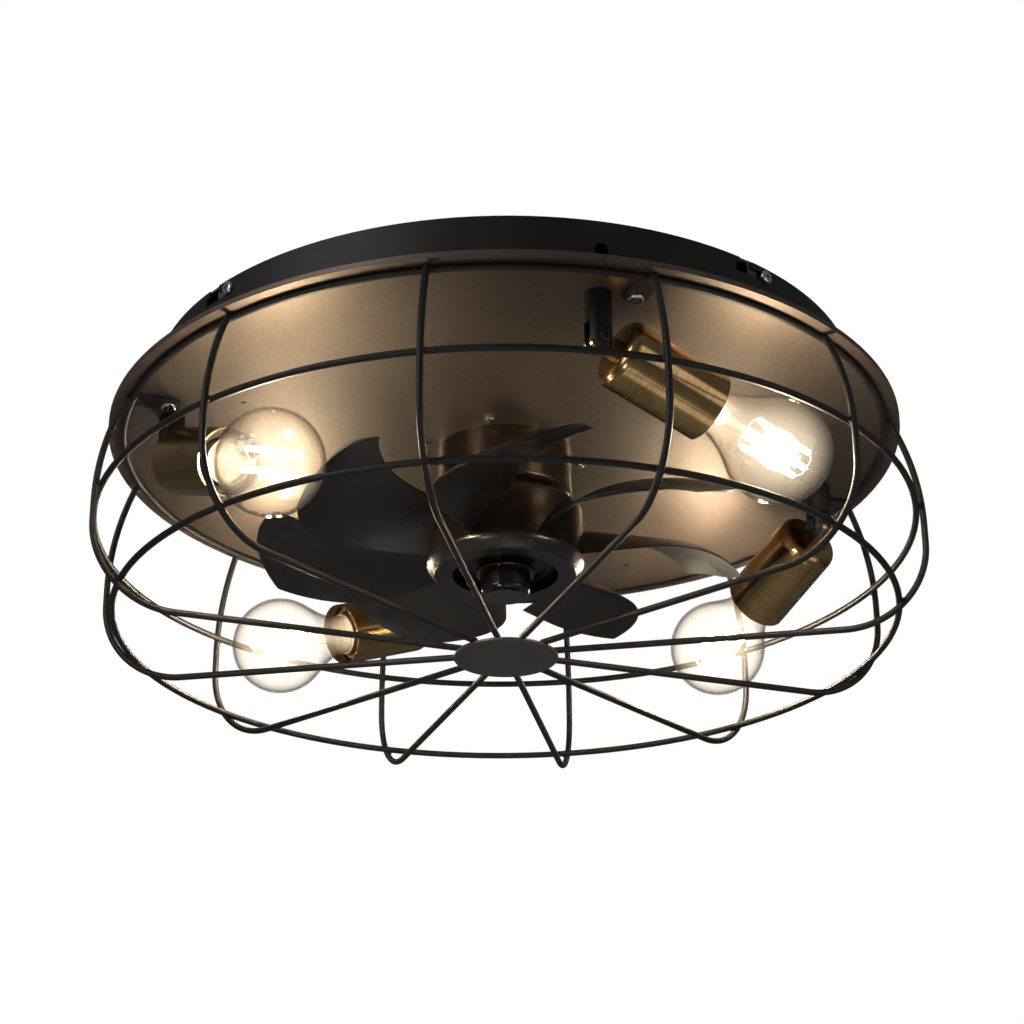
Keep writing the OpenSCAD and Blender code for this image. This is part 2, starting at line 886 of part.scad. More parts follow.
ceiling_plate();
canopy_screws();
canopy();
reflector_plate();
terminal_block();
driver_box();
motor_bracket();
motor_screws();
motor_cup();
motor_shaft();
motor_stator();
motor_bearings();
rotor_drum();
rotor_end_plate();
magnet_ring();
hub_ring();
hub_knob();
blade(1);  // blade_1
blade(2);  // blade_2
blade(3);  // blade_3
blade(4);  // blade_4
blade(5);  // blade_5
blade(6);  // blade_6
blade(7);  // blade_7
cage_ring_upper();
cage_ring_middle();
cage_ring_lower();
cage_wire(1);  // cage_wire_01
cage_wire(2);  // cage_wire_02
cage_wire(3);  // cage_wire_03
cage_wire(4);  // cage_wire_04
cage_wire(5);  // cage_wire_05
cage_wire(6);  // cage_wire_06
cage_wire(7);  // cage_wire_07
cage_wire(8);  // cage_wire_08
cage_wire(9);  // cage_wire_09
cage_wire(10);  // cage_wire_10
cage_wire(11);  // cage_wire_11
cage_wire(12);  // cage_wire_12
cage_disc();
cage_tabs();
tab_screws();
lamp_posts();
knuckle_screws();
lamp_cup(1);  // lamp_cup_1
lamp_cup(2);  // lamp_cup_2
lamp_cup(3);  // lamp_cup_3
lamp_cup(4);  // lamp_cup_4
lamp_socket(1);  // lamp_socket_1
lamp_socket(2);  // lamp_socket_2
lamp_socket(3);  // lamp_socket_3
lamp_socket(4);  // lamp_socket_4
bulb_base(1);  // bulb_base_1
bulb_base(2);  // bulb_base_2
bulb_base(3);  // bulb_base_3
bulb_base(4);  // bulb_base_4
bulb_glass(1);  // bulb_glass_1
bulb_glass(2);  // bulb_glass_2
bulb_glass(3);  // bulb_glass_3
bulb_glass(4);  // bulb_glass_4
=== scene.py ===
"""Looks of the caged ceiling fan: materials, fine blades, bulb filaments, cage welds, light and camera.

Everything is in metres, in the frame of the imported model: the origin is the centre of the
ceiling face and +Z is up.
"""

import json
import math

import bpy
from mathutils import Matrix, Vector


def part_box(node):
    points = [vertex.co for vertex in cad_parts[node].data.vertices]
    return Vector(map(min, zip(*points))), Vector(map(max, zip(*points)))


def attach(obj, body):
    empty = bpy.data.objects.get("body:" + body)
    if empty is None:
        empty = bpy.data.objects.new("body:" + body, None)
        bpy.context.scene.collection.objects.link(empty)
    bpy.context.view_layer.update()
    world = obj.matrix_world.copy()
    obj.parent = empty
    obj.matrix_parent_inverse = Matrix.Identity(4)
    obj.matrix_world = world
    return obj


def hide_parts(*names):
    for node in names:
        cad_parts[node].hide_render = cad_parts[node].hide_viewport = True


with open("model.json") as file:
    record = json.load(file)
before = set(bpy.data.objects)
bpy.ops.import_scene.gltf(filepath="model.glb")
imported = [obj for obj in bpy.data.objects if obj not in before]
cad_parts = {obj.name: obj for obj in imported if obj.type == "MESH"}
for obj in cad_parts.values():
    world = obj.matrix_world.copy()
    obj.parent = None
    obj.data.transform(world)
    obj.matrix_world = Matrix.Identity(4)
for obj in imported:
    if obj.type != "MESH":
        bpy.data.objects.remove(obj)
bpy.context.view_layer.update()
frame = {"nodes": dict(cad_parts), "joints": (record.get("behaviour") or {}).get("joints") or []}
nodes = frame["nodes"]
joints = {joint["name"]: joint for joint in frame["joints"]}

MM = 0.001
UP = Vector((0, 0, 1))

# Underside of the reflector plate and radius of the drum, as the frame gives them
PLATE_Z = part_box("reflector_plate")[0].z
DRUM_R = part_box("rotor_drum")[1].x

LAMPS = (1, 2, 3, 4)
# How far each bulb points below level at rest, in degrees
LAMP_TILT = {1: 18.0, 2: 20.0, 3: 21.0, 4: 21.5}
# From a lamp's pivot to the centre of its globe
GLOBE_CENTRE = 119.2 * MM

FILAMENT_COLOUR = (1.0, 0.86, 0.62, 1)
FILAMENT_GLOW = 60.0
BULB_LIGHT_COLOUR = (1.0, 0.84, 0.62)
BULB_LIGHT_WATTS = 0.75
BULB_LIGHT_R = 12 * MM
# Strength of the warm glow painted over the middle of a lit globe's glass
PAINTED_GLOW = 0.26
PAINTED_GLOW_COLOUR = (1.0, 0.82, 0.58, 1)


# ---- Node helpers ----


def new_material(name):
    """A material, its tree and its Principled shader."""
    made = bpy.data.materials.new(name)
    made.use_nodes = True
    tree = made.node_tree
    return made, tree, tree.nodes["Principled BSDF"]


def node(tree, kind, inputs=None, **settings):
    """A new node with its settings, and its inputs set to values or linked to sockets."""
    made = tree.nodes.new(kind)
    for key, value in settings.items():
        setattr(made, key, value)
    for key, value in (inputs or {}).items():
        if isinstance(value, bpy.types.NodeSocket):
            tree.links.new(value, made.inputs[key])
        else:
            made.inputs[key].default_value = value
    return made


def place(tree):
    """Where a point is in its own object's frame, in metres."""
    return node(tree, "ShaderNodeTexCoord").outputs["Object"]


def noise(tree, vector, size, detail=3.0, roughness=0.5):
    """Noise from 0 to 1 whose features are about size metres across."""
    inputs = {"Vector": vector, "Scale": 1.0 / size, "Detail": detail, "Roughness": roughness}
    return node(tree, "ShaderNodeTexNoise", inputs).outputs["Fac"]


def remap(tree, value, low, high, start=0.0, end=1.0):
    """value from low..high brought to start..end, held at both ends."""
    inputs = {"Value": value, "From Min": low, "From Max": high, "To Min": start, "To Max": end}
    return node(tree, "ShaderNodeMapRange", inputs).outputs["Result"]


def blend_colours(tree, factor, first, second):
    """first where factor is 0, second where it is 1."""
    made = node(tree, "ShaderNodeMix", {"Factor": factor}, data_type="RGBA")
    for index, colour in ((6, first), (7, second)):
        if isinstance(colour, bpy.types.NodeSocket):
            tree.links.new(colour, made.inputs[index])
        else:
            made.inputs[index].default_value = (*colour, 1)
    return made.outputs[2]


def maths(tree, operation, first, second=0.0):
    """One step of arithmetic on sockets or numbers."""
    return node(tree, "ShaderNodeMath", {0: first, 1: second}, operation=operation).outputs["Value"]


def vector_maths(tree, operation, first, second):
    """One step of vector arithmetic; a dot product comes back as a number."""
    made = node(tree, "ShaderNodeVectorMath", {0: first, 1: second}, operation=operation)
    return made.outputs["Value" if operation == "DOT_PRODUCT" else "Vector"]


def bump(tree, shader, height, depth, strength):
    """Relief of height (0 to 1) times depth metres on the shader."""
    inputs = {"Height": height, "Distance": depth, "Strength": strength}
    made = node(tree, "ShaderNodeBump", inputs).outputs["Normal"]
    tree.links.new(made, shader.inputs["Normal"])


def link(tree, socket, shader, name):
    """Feeds a shader's input."""
    tree.links.new(socket, shader.inputs[name])


# ---- Materials ----


def black_coat(name, tone, rough, grain, shine=0.5):
    """Black powder coat or moulded black plastic: fine grain, with cloudy tone and gloss."""
    made, tree, shader = new_material(name)
    where = place(tree)
    cloud = noise(tree, where, 40 * MM)
    fine = noise(tree, where, grain, detail=2.0)
    dark = tuple(0.75 * c for c in tone)
    light = tuple(1.35 * c for c in tone)
    link(tree, blend_colours(tree, remap(tree, cloud, 0.3, 0.7), dark, light), shader, "Base Color")
    gloss = maths(tree, "ADD", remap(tree, cloud, 0.3, 0.7, rough - 0.05, rough + 0.05),
                  remap(tree, fine, 0.3, 0.7, -0.04, 0.04))
    link(tree, gloss, shader, "Roughness")
    shader.inputs["Specular IOR Level"].default_value = shine
    bump(tree, shader, fine, 0.03 * MM, 0.5)
    return made


def sandy_bronze(name):
    """Satin metallic lacquer of the reflector plate: cloudy tone, sandy grain and small bright flakes."""
    made, tree, shader = new_material(name)
    where = place(tree)
    cloud = noise(tree, where, 60 * MM)
    grain = noise(tree, where, 0.9 * MM, detail=2.0)
    cells = {"Vector": where, "Scale": 1.0 / (0.55 * MM)}
    flake = node(tree, "ShaderNodeTexVoronoi", cells).outputs["Color"]
    glint = node(tree, "ShaderNodeSeparateColor", {"Color": flake}).outputs["Red"]
    fleck = remap(tree, glint, 0.3, 1.0, 0.0, 0.22)
    body = blend_colours(tree, remap(tree, cloud, 0.3, 0.7), (0.096, 0.074, 0.060), (0.120, 0.093, 0.075))
    sandy = blend_colours(tree, remap(tree, grain, 0.35, 0.75, 0.0, 0.3), body, (0.165, 0.130, 0.106))
    link(tree, blend_colours(tree, fleck, sandy, (0.27, 0.21, 0.17)), shader, "Base Color")
    link(tree, remap(tree, glint, 0.0, 1.0, 0.53, 0.45), shader, "Roughness")
    shader.inputs["Metallic"].default_value = 0.8
    bump(tree, shader, grain, 0.03 * MM, 0.35)
    return made


def gloss_lacquer(name, tone, rough=0.16):
    """Dark glossy lacquer over metal, with orange peel and faint wipe marks."""
    made, tree, shader = new_material(name)
    where = place(tree)
    peel = noise(tree, where, 5 * MM)
    wipe = noise(tree, vector_maths(tree, "MULTIPLY", where, (1, 1, 6)), 30 * MM)
    light = tuple(1.3 * c for c in tone)
    link(tree, blend_colours(tree, remap(tree, wipe, 0.35, 0.7), tone, light), shader, "Base Color")
    link(tree, remap(tree, wipe, 0.3, 0.7, rough, rough + 0.08), shader, "Roughness")
    shader.inputs["Metallic"].default_value = 0.55
    shader.inputs["Coat Weight"].default_value = 0.6
    shader.inputs["Coat Roughness"].default_value = 0.08
    bump(tree, shader, peel, 0.04 * MM, 0.3)
    return made


def brushed_brass(name, axis):
    """Antique brass with patina, brushed round the lamp's axis; its brighter streaks carry a painted
    highlight.
    """
    made, tree, shader = new_material(name)
    where = place(tree)
    along = vector_maths(tree, "DOT_PRODUCT", where, tuple(axis))
    lines = node(tree, "ShaderNodeCombineXYZ", {"X": maths(tree, "MULTIPLY", along, 60.0)}).outputs["Vector"]
    brushed = vector_maths(tree, "ADD", vector_maths(tree, "MULTIPLY", where, (3, 3, 3)), lines)
    brushed_streak_and_highlight = noise(tree, brushed, 16 * MM, detail=5.0, roughness=0.65)
    patina = noise(tree, where, 14 * MM, detail=4.0)
    worn = blend_colours(tree, remap(tree, patina, 0.35, 0.7), (0.20, 0.118, 0.044), (0.35, 0.215, 0.088))
    # The brightest brass, laid on the brushed streaks, is a painted highlight
    link(tree, blend_colours(tree, remap(tree, brushed_streak_and_highlight, 0.35, 0.7), worn, (0.58, 0.385, 0.175)),
         shader, "Base Color")
    link(tree, remap(tree, brushed_streak_and_highlight, 0.3, 0.7, 0.27, 0.17), shader, "Roughness")
    shader.inputs["Metallic"].default_value = 1.0
    shader.inputs["Anisotropic"].default_value = 0.65
    tangent = node(tree, "ShaderNodeVectorTransform", {"Vector": tuple(axis)},
                   vector_type="VECTOR", convert_from="OBJECT", convert_to="WORLD").outputs["Vector"]
    link(tree, tangent, shader, "Tangent")
    bump(tree, shader, brushed_streak_and_highlight, 0.02 * MM, 0.35)
    return made


def bright_metal(name, tone, rough, scratch=6 * MM):
    """Plated or ground steel with fine scratches."""
    made, tree, shader = new_material(name)
    where = place(tree)
    scored = noise(tree, vector_maths(tree, "MULTIPLY", where, (1, 8, 1)), scratch, detail=6.0, roughness=0.7)
    stain = noise(tree, where, 12 * MM)
    dull = tuple(0.7 * c for c in tone)
    link(tree, blend_colours(tree, remap(tree, stain, 0.3, 0.7), dull, tone), shader, "Base Color")
    link(tree, remap(tree, scored, 0.3, 0.7, rough, rough + 0.14), shader, "Roughness")
    shader.inputs["Metallic"].default_value = 1.0
    bump(tree, shader, scored, 0.015 * MM, 0.4)
    return made


def pale_solid(name, tone, rough):
    """Pale plastic with faint mottling."""
    made, tree, shader = new_material(name)
    where = place(tree)
    mottle = noise(tree, where, 8 * MM)
    light = tuple(min(1.0, 1.08 * c) for c in tone)
    link(tree, blend_colours(tree, mottle, tone, light), shader, "Base Color")
    link(tree, remap(tree, mottle, 0.3, 0.7, rough, rough + 0.1), shader, "Roughness")
    bump(tree, shader, noise(tree, where, 0.6 * MM), 0.02 * MM, 0.3)
    return made


def bulb_glass(name):
    """Thin clear glass that lets light straight through.

    It mirrors at grazing angles, its outline is tinted, and a warm glow is painted over its middle.
    """
    made, tree, shader = new_material(name)
    tree.nodes.remove(shader)
    where = place(tree)
    ripple = noise(tree, where, 25 * MM)
    relief = {"Height": ripple, "Distance": 0.2 * MM, "Strength": 0.5}
    uneven = node(tree, "ShaderNodeBump", relief).outputs["Normal"]
    facing = node(tree, "ShaderNodeLayerWeight", {"Blend": 0.5}).outputs["Facing"]
    edge = maths(tree, "POWER", facing, 4.0)
    tint = blend_colours(tree, edge, (0.985, 0.975, 0.955), (0.84, 0.79, 0.72))
    clear = node(tree, "ShaderNodeBsdfTransparent", {"Color": tint}).outputs["BSDF"]
    mirror = node(tree, "ShaderNodeBsdfGlossy",
                  {"Color": (1, 1, 1, 1), "Roughness": 0.03, "Normal": uneven}).outputs["BSDF"]
    mirrored = remap(tree, maths(tree, "POWER", facing, 5.0), 0.0, 1.0, 0.04, 1.0)
    mixed = node(tree, "ShaderNodeMixShader", {0: mirrored, 1: clear, 2: mirror}).outputs["Shader"]
    output = tree.nodes["Material Output"]
    # A painted warm glow, strongest in the middle of the globe, as if the glass itself shone
    depth = maths(tree, "POWER", maths(tree, "SUBTRACT", 1.0, facing), 2.5)
    painted_glow_strength = maths(tree, "MULTIPLY", depth, PAINTED_GLOW)
    glow = {"Color": PAINTED_GLOW_COLOUR, "Strength": painted_glow_strength}
    painted_glow = node(tree, "ShaderNodeEmission", glow).outputs["Emission"]
    lit = node(tree, "ShaderNodeAddShader", {0: mixed, 1: painted_glow}).outputs["Shader"]
    tree.links.new(lit, output.inputs["Surface"])
    return made


def glowing(name, strength):
    """A lit LED filament: a speckled warm coating that glows evenly."""
    made, tree, shader = new_material(name)
    where = place(tree)
    speckle = noise(tree, where, 1.2 * MM)
    link(tree, remap(tree, speckle, 0.3, 0.7, 0.5, 0.8), shader, "Roughness")
    link(tree, blend_colours(tree, speckle, (1.0, 0.62, 0.2), (1.0, 0.8, 0.4)), shader, "Base Color")
    shader.inputs["Emission Color"].default_value = FILAMENT_COLOUR
    shader.inputs["Emission Strength"].default_value = strength
    return made


# ---- Mesh helpers ----


def new_piece(name, vertices, faces, material, body, smooth_below=40):
    """A mesh object in the row frame that rides on a body."""
    mesh = bpy.data.meshes.new(name)
    mesh.from_pydata([tuple(v) for v in vertices], [], faces)
    mesh.update()
    mesh.shade_smooth()
    mesh.set_sharp_from_angle(angle=math.radians(smooth_below))
    made = bpy.data.objects.new(name, mesh)
    made.data.materials.append(material)
    bpy.context.scene.collection.objects.link(made)
    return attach(made, body)


def sweep(points, radii, sides=12):
    """Vertices and faces of a closed tube through points, with a radius at each."""
    vertices = []
    faces = []
    normal = None
    for i, point in enumerate(points):
        ahead = points[min(i + 1, len(points) - 1)] - points[max(i - 1, 0)]
        ahead.normalize()
        if normal is None:
            normal = ahead.orthogonal().normalized()
        normal = (normal - ahead * normal.dot(ahead)).normalized()
        side = ahead.cross(normal)
        for k in range(sides):
            a = 2 * math.pi * k / sides
            vertices.append(point + radii[i] * (math.cos(a) * normal + math.sin(a) * side))
    for i in range(len(points) - 1):
        for k in range(sides):
            j = (k + 1) % sides
            faces.append((i * sides + k, i * sides + j, (i + 1) * sides + j, (i + 1) * sides + k))
    faces.append(tuple(reversed(range(sides))))
    faces.append(tuple(range(len(vertices) - sides, len(vertices))))
    return vertices, faces


def joined(parts):
    """Several (vertices, faces) as one."""
    vertices = []
    faces = []
    for more_vertices, more_faces in parts:
        start = len(vertices)
        vertices.extend(more_vertices)
        faces.extend(tuple(start + i for i in face) for face in more_faces)
    return vertices, faces


def around(radius, azimuth, z):
    """A point at an azimuth counted from -Y towards +X."""
    a = math.radians(azimuth)
    return Vector((radius * math.sin(a), -radius * math.cos(a), z))


# ---- Blades ----

BLADE_COUNT = 7
BLADE_AZIMUTH = 21.0
BLADE_ROOT_R = DRUM_R - 0.7 * MM
BLADE_LEAD_DROP = 46 * MM
BLADE_TRAIL_DROP = 70 * MM
BLADE_T = 2.4 * MM
BLADE_EDGE_T = 0.7 * MM
BLADE_STEPS_R = 48
BLADE_STEPS_C = 32
# The blade's curves are those of the CAD source, whose radii are in millimetres and azimuths in degrees.
# The tip's radius is TIP_START + TIP_RISE c - TIP_FALL c^2, with c from 0 at the leading edge
# to 1 at the trailing edge.
TIP_START = 135
TIP_RISE = 38
TIP_FALL = 31
# Each edge keeps its root azimuth up to the FROM radius, and then sweeps as a power of the
# distance beyond it, counted in SPANs.
LEAD_ROOT = -16.5
LEAD_SWEEP = 16.5
LEAD_FROM_R = 55
LEAD_SPAN = 80
LEAD_POWER = 1.6
TRAIL_ROOT = -47
TRAIL_SWEEP = 23
TRAIL_FROM_R = 85
TRAIL_SPAN = 57
TRAIL_POWER = 2
# The straight part of the camber; the rest bends with the square of the chord.
CAMBER_STRAIGHT = 0.25
# Share of the thickness lost from root to tip
BLADE_TAPER = 0.6


def blade_point(s, c, side, turn):
    """A blade's point at span fraction s and chord fraction c, on its upper (1) or lower (-1) face."""
    tip_r = (TIP_START + TIP_RISE * c - TIP_FALL * c * c) * MM
    r = BLADE_ROOT_R + (tip_r - BLADE_ROOT_R) * s
    lead = LEAD_ROOT + LEAD_SWEEP * max(0.0, (r / MM - LEAD_FROM_R) / LEAD_SPAN) ** LEAD_POWER
    trail = TRAIL_ROOT + TRAIL_SWEEP * max(0.0, (r / MM - TRAIL_FROM_R) / TRAIL_SPAN) ** TRAIL_POWER
    camber = CAMBER_STRAIGHT * c + (1 - CAMBER_STRAIGHT) * c * c
    drop = BLADE_LEAD_DROP + (BLADE_TRAIL_DROP - BLADE_LEAD_DROP) * camber
    full = math.sqrt(max(0.0, math.sin(math.pi * c)))
    thick = BLADE_EDGE_T + (BLADE_T - BLADE_EDGE_T) * full * (1 - BLADE_TAPER * s ** 3)
    return around(r, lead * (1 - c) + trail * c + turn, PLATE_Z - drop + side * thick / 2)


def eased(t):
    """Steps that crowd towards both ends."""
    return (1 - math.cos(math.pi * t)) / 2


def blade_mesh(turn):
    """Vertices and faces of one blade."""
    ns, nc = BLADE_STEPS_R, BLADE_STEPS_C
    row = nc + 1
    layer = (ns + 1) * row
    vertices = [
        blade_point(s / ns, eased(c / nc), side, turn)
        for side in (1, -1) for s in range(ns + 1) for c in range(row)
    ]
    faces = []
    for s in range(ns):
        for c in range(nc):
            a, b = s * row + c, (s + 1) * row + c
            faces.append((a, a + 1, b + 1, b))
            faces.append((layer + a, layer + b, layer + b + 1, layer + a + 1))
    rim = list(range(row))
    rim += [s * row + nc for s in range(1, ns + 1)]
    rim += [ns * row + nc - c for c in range(1, row)]
    rim += [(ns - s) * row for s in range(1, ns)]
    for a, b in zip(rim, rim[1:] + rim[:1]):
        faces.append((a, layer + a, layer + b, b))
    return vertices, faces


def make_blades(material):
    """Smooth blades in the place of the CAD's faceted ones."""
    for i in range(BLADE_COUNT):
        vertices, faces = blade_mesh(BLADE_AZIMUTH + i * 360 / BLADE_COUNT)
        made = new_piece(f"blade_loft_{i + 1}", vertices, faces, material, "rotor", smooth_below=50)
        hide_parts(f"blade_{i + 1}")


# ---- Lamps ----


def lamp_axes(i):
    """Pivot, bulb direction and tilt axis of lamp i."""
    joint = joints[f"lamp_tilt_{i}"]
    pivot = Vector(joint["pos_m"])
    tilt_axis = Vector(joint["axis"])
    level = tilt_axis.cross(UP)
    tilt = math.radians(LAMP_TILT[i])
    return pivot, level * math.cos(tilt) - UP * math.sin(tilt), tilt_axis


def lamp_matrix(i):
    """Frame of lamp i: the origin is its pivot, Z runs to the bulb and Y is the tilt axis."""
    pivot, along, tilt_axis = lamp_axes(i)
    across = tilt_axis.cross(along)
    turn = Matrix((across, tilt_axis, along)).transposed().to_4x4()
    return Matrix.Translation(pivot) @ turn


STICKS = 4
STICK_R = 1.5 * MM
STICK_END_R = 0.6 * MM
# How far along a stick each of its radii is reached
STICK_PROFILE = ((0.0, STICK_END_R), (0.03, STICK_R), (0.5, STICK_R), (0.97, STICK_R), (1.0, STICK_END_R))
# Distance from the lamp's axis and from its pivot, of a stick's two ends
STICK_LOW = (8.6 * MM, 100 * MM)
STICK_HIGH = (7.4 * MM, 136 * MM)
STEM_TOP = 101 * MM
SUPPORT_R = 0.3 * MM
# The support wires' offsets along the lamp's axis, in millimetres, and how far along their span they bend
CROWN_RISE = 3
ELBOW_DROP = 3
ROOT_DROP = 4
JOIN_DROP = 1.5
BEND_RISE = 1.5
ELBOW_AT = 0.3
BEND_AT = 0.4


def stick_ends(k):
    """Both ends of LED filament k in the lamp's frame."""
    a = 2 * math.pi * (k + 0.5) / STICKS
    spoke = Vector((math.cos(a), math.sin(a), 0))
    return [spoke * r + UP * z for r, z in (STICK_LOW, STICK_HIGH)]


def make_filaments(i, materials):
    """The glass stem, support wires and LED filaments of one bulb."""
    matrix = lamp_matrix(i)
    body = f"lamp_{i}"
    sticks = []
    wires = []
    stem_top = UP * STEM_TOP
    crown = UP * (STICK_HIGH[1] + CROWN_RISE * MM)
    for k in range(STICKS):
        low, high = stick_ends(k)
        along = [low.lerp(high, t) for t, _ in STICK_PROFILE]
        sticks.append(sweep(along, [r for _, r in STICK_PROFILE]))
        root = stem_top - UP * ROOT_DROP * MM
        elbow = low.lerp(stem_top, ELBOW_AT) - UP * ELBOW_DROP * MM
        lower = [root, elbow, low - UP * JOIN_DROP * MM, low]
        wires.append(sweep(lower, [SUPPORT_R] * len(lower), sides=8))
        bend = high.lerp(crown, BEND_AT) + UP * BEND_RISE * MM
        upper = [high, bend, crown]
        wires.append(sweep(upper, [SUPPORT_R] * len(upper), sides=8))
    parts = {"filaments": joined(sticks), "filament_wires": joined(wires), "stem": stem_mesh()}
    for name, (vertices, faces) in parts.items():
        placed = [matrix @ v for v in vertices]
        made = new_piece(f"{name}_{i}", placed, faces, materials[name], body)


def stem_mesh():
    """The glass stem of a bulb, round all the way: a flared foot, a tube and a narrow tip."""
    outline = [(10.5, 72), (9.0, 74), (6.0, 79), (4.2, 85), (3.4, 91), (3.2, 96), (2.6, 99), (0.8, 101)]
    return sweep([UP * z * MM for _, z in outline], [r * MM for r, _ in outline], sides=24)


def make_bulb_light(i):
    """The light of one lit bulb."""
    light = bpy.data.lights.new(f"bulb_light_{i}", "POINT")
    light.color = BULB_LIGHT_COLOUR
    light.energy = BULB_LIGHT_WATTS
    light.shadow_soft_size = BULB_LIGHT_R
    made = bpy.data.objects.new(light.name, light)
    made.location = lamp_matrix(i) @ (UP * GLOBE_CENTRE)
    made.visible_camera = False
    bpy.context.scene.collection.objects.link(made)
    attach(made, f"lamp_{i}")


# ---- Cage welds ----

WIRE_COUNT = 12
WIRE_AZIMUTH = -10.0
WIRE_R = 1.9 * MM
WELD_R = 2.6 * MM
# Depth of a bead against its width
WELD_FLATTENING = 0.45
# How steeply the beads on the lower ring face down
WELD_DIP = 0.95


def weld_mesh(centre, outward, size):
    """A small flattened bead of weld."""
    side = UP.cross(outward).normalized()
    up = outward.cross(side)
    rings, sides = 6, 12
    vertices = [centre + up * size]
    for i in range(1, rings):
        a = math.pi * i / rings
        for k in range(sides):
            b = 2 * math.pi * k / sides
            vertices.append(
                centre
                + up * size * math.cos(a)
                + size * math.sin(a) * (math.cos(b) * side + WELD_FLATTENING * math.sin(b) * outward))
    vertices.append(centre - up * size)
    faces = []
    for k in range(sides):
        j = (k + 1) % sides
        faces.append((0, 1 + k, 1 + j))
        for i in range(rings - 2):
            a = 1 + i * sides
            faces.append((a + k, a + sides + k, a + sides + j, a + j))
        last = 1 + (rings - 2) * sides
        faces.append((last + k, len(vertices) - 1, last + j))
    return vertices, faces


def make_welds(material):
    """A bead at each crossing of an upright wire and a ring."""
    beads = []
    for ring in ("cage_ring_upper", "cage_ring_middle", "cage_ring_lower"):
        low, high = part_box(ring)
        radius = high.x
        z = (low.z + high.z) / 2
        for k in range(WIRE_COUNT):
            azimuth = WIRE_AZIMUTH + k * 360 / WIRE_COUNT
            outward = around(1, azimuth, 0)
            if ring == "cage_ring_lower":
                outward = (outward - UP * WELD_DIP).normalized()
                centre = around(radius - WIRE_R, azimuth, z) + outward * WIRE_R
            else:
                centre = around(radius, azimuth, z)
            beads.append(weld_mesh(centre, outward, WELD_R))
    vertices, faces = joined(beads)
    made = new_piece("cage_welds", vertices, faces, material, "fixture")


# ---- Materials on the CAD nodes ----


def paint(material, *names):
    """Gives CAD nodes a material."""
    for name in names:
        mesh = nodes[name].data
        mesh.materials.clear()
        mesh.materials.append(material)


def paint_all():
    """Materials for every CAD node, and the pieces that only the visual model has."""
    coat = black_coat("satin_black_coat", (0.012, 0.011, 0.0105), 0.46, 0.7 * MM, shine=0.3)
    disc_coat = black_coat("disc_coat", (0.060, 0.059, 0.058), 0.50, 0.7 * MM)
    paint(coat, "lamp_posts", *(n for n in nodes if n.startswith("cage_") and n != "cage_disc"))
    paint(disc_coat, "cage_disc")
    paint(black_coat("canopy_coat", (0.007, 0.0072, 0.008), 0.5, 0.8 * MM, shine=0.35), "canopy")
    paint(sandy_bronze("sandy_bronze"), "reflector_plate")
    paint(gloss_lacquer("cup_lacquer", (0.030, 0.017, 0.010), 0.16), "motor_cup")
    paint(gloss_lacquer("drum_lacquer", (0.028, 0.018, 0.012), 0.13), "rotor_drum")
    paint(black_coat("hub_plastic", (0.014, 0.0135, 0.013), 0.27, 0.6 * MM), "hub_ring")
    paint(black_coat("end_plate_coat", (0.010, 0.010, 0.010), 0.45, 0.6 * MM), "rotor_end_plate")
    paint(black_coat("black_screw", (0.014, 0.014, 0.014), 0.30, 0.5 * MM), "knuckle_screws")
    paint(gloss_lacquer("knob_gloss", (0.010, 0.010, 0.011), 0.10), "hub_knob")
    paint(bright_metal("zinc", (0.62, 0.62, 0.60), 0.32), "motor_bracket", "motor_shaft")
    paint(bright_metal("dark_zinc", (0.16, 0.16, 0.16), 0.45), "ceiling_plate")
    paint(bright_metal("nickel", (0.80, 0.78, 0.74), 0.14, 2 * MM),
          "canopy_screws", "motor_screws", "tab_screws")
    paint(bright_metal("core_steel", (0.42, 0.36, 0.30), 0.4), "motor_stator")
    paint(bright_metal("bearing_steel", (0.70, 0.70, 0.72), 0.15), "motor_bearings")
    paint(bright_metal("ferrite", (0.12, 0.12, 0.13), 0.5), "magnet_ring")
    paint(pale_solid("driver_plastic", (0.80, 0.80, 0.79), 0.45), "driver_box")
    paint(pale_solid("terminal_plastic", (0.82, 0.80, 0.72), 0.4), "terminal_block")
    phenolic = black_coat("socket_phenolic", (0.020, 0.015, 0.012), 0.30, 0.5 * MM)
    cap = bright_metal("bulb_cap_metal", (0.42, 0.38, 0.33), 0.38, 3 * MM)
    glass = bulb_glass("bulb_clear_glass")
    inner = {
        "filaments": glowing("lit_filament", FILAMENT_GLOW),
        "filament_wires": bright_metal("filament_wire", (0.60, 0.50, 0.36), 0.3, 2 * MM),
        "stem": glass,
    }
    for i in LAMPS:
        paint(brushed_brass(f"brushed_brass_{i}", lamp_axes(i)[1]), f"lamp_cup_{i}")
        paint(phenolic, f"lamp_socket_{i}")
        paint(cap, f"bulb_base_{i}")
        paint(glass, f"bulb_glass_{i}")
        make_filaments(i, inner)
        make_bulb_light(i)
    make_welds(coat)
    make_blades(black_coat("blade_plastic", (0.012, 0.0110, 0.0100), 0.32, 0.5 * MM, shine=0.5))


# ---- Stage, light and camera ----

FLOOR_Z = -1.6
FLOOR_HALF = 6.0
FLOOR_GLOW = 0.6
FAN_CENTRE = (0, 0, -0.1)
WORLD_STRENGTH = 0.25
CAMERA_AT = Vector((0.0, -1.3585, -0.6988))
CAMERA_AIM = Vector((0.0028, 0.9097, 0.4154))
CAMERA_ROLL = math.radians(-0.48)
CAMERA_LENS = 88.69
CAMERA_SENSOR = 36


